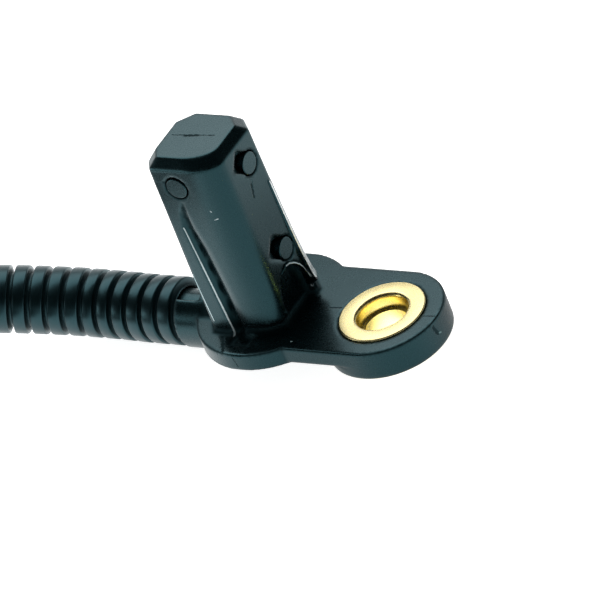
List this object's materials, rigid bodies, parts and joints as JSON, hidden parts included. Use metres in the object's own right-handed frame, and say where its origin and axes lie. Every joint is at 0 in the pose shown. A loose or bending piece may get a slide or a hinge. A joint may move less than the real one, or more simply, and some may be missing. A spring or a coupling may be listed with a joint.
{
  "type": "abs wheel speed sensor",
  "caption": "Wheel speed sensor with a moulded tower on a flat bolt ear with a brass bush, and a lead in corrugated conduit ending in a sealed plug.",
  "frame": {"origin": "middle of the sensor's own box, without its lead, on the surface that the cable outlet lies on", "axes": "+Z along the tower to its tip, +X from the tower to the bolt hole, the cable leaves along -X"},
  "size_m": [0.159, 0.1453, 0.0389],
  "materials": {
    "overmould": "satin moulded",
    "carrier": "satin moulded",
    "brass": "turned",
    "ceramic": "matt",
    "magnet": "nickel plated",
    "tinned": "tinned",
    "core": "matt",
    "jacket": "matt",
    "conduit": "semi gloss",
    "tie": "satin",
    "plug": "satin moulded",
    "lock": "satin moulded",
    "seal": "matt"
  },
  "bodies": {
    "root": {"sensor_body": "overmould", "mounting_bush": "brass", "inner_carrier": "carrier", "sensor_chip": "ceramic", "bias_magnet": "magnet", "filter_capacitor": "ceramic", "lead_strip_left": "tinned", "lead_strip_right": "tinned", "crimp_left": "tinned", "crimp_right": "tinned", "core_left": "core", "core_right": "core", "cable_jacket": "jacket", "conduit_lead": "conduit", "conduit_coil": "conduit", "conduit_tail": "conduit", "coil_tie_1": "tie", "coil_tie_2": "tie", "plug_rear_cover": "plug", "plug_housing": "plug", "plug_terminal_lock": "lock", "plug_front_seal": "seal", "plug_pin_left": "tinned", "plug_pin_right": "tinned", "wire_seal_left": "seal", "wire_seal_right": "seal"}
  },
  "joints": []
}
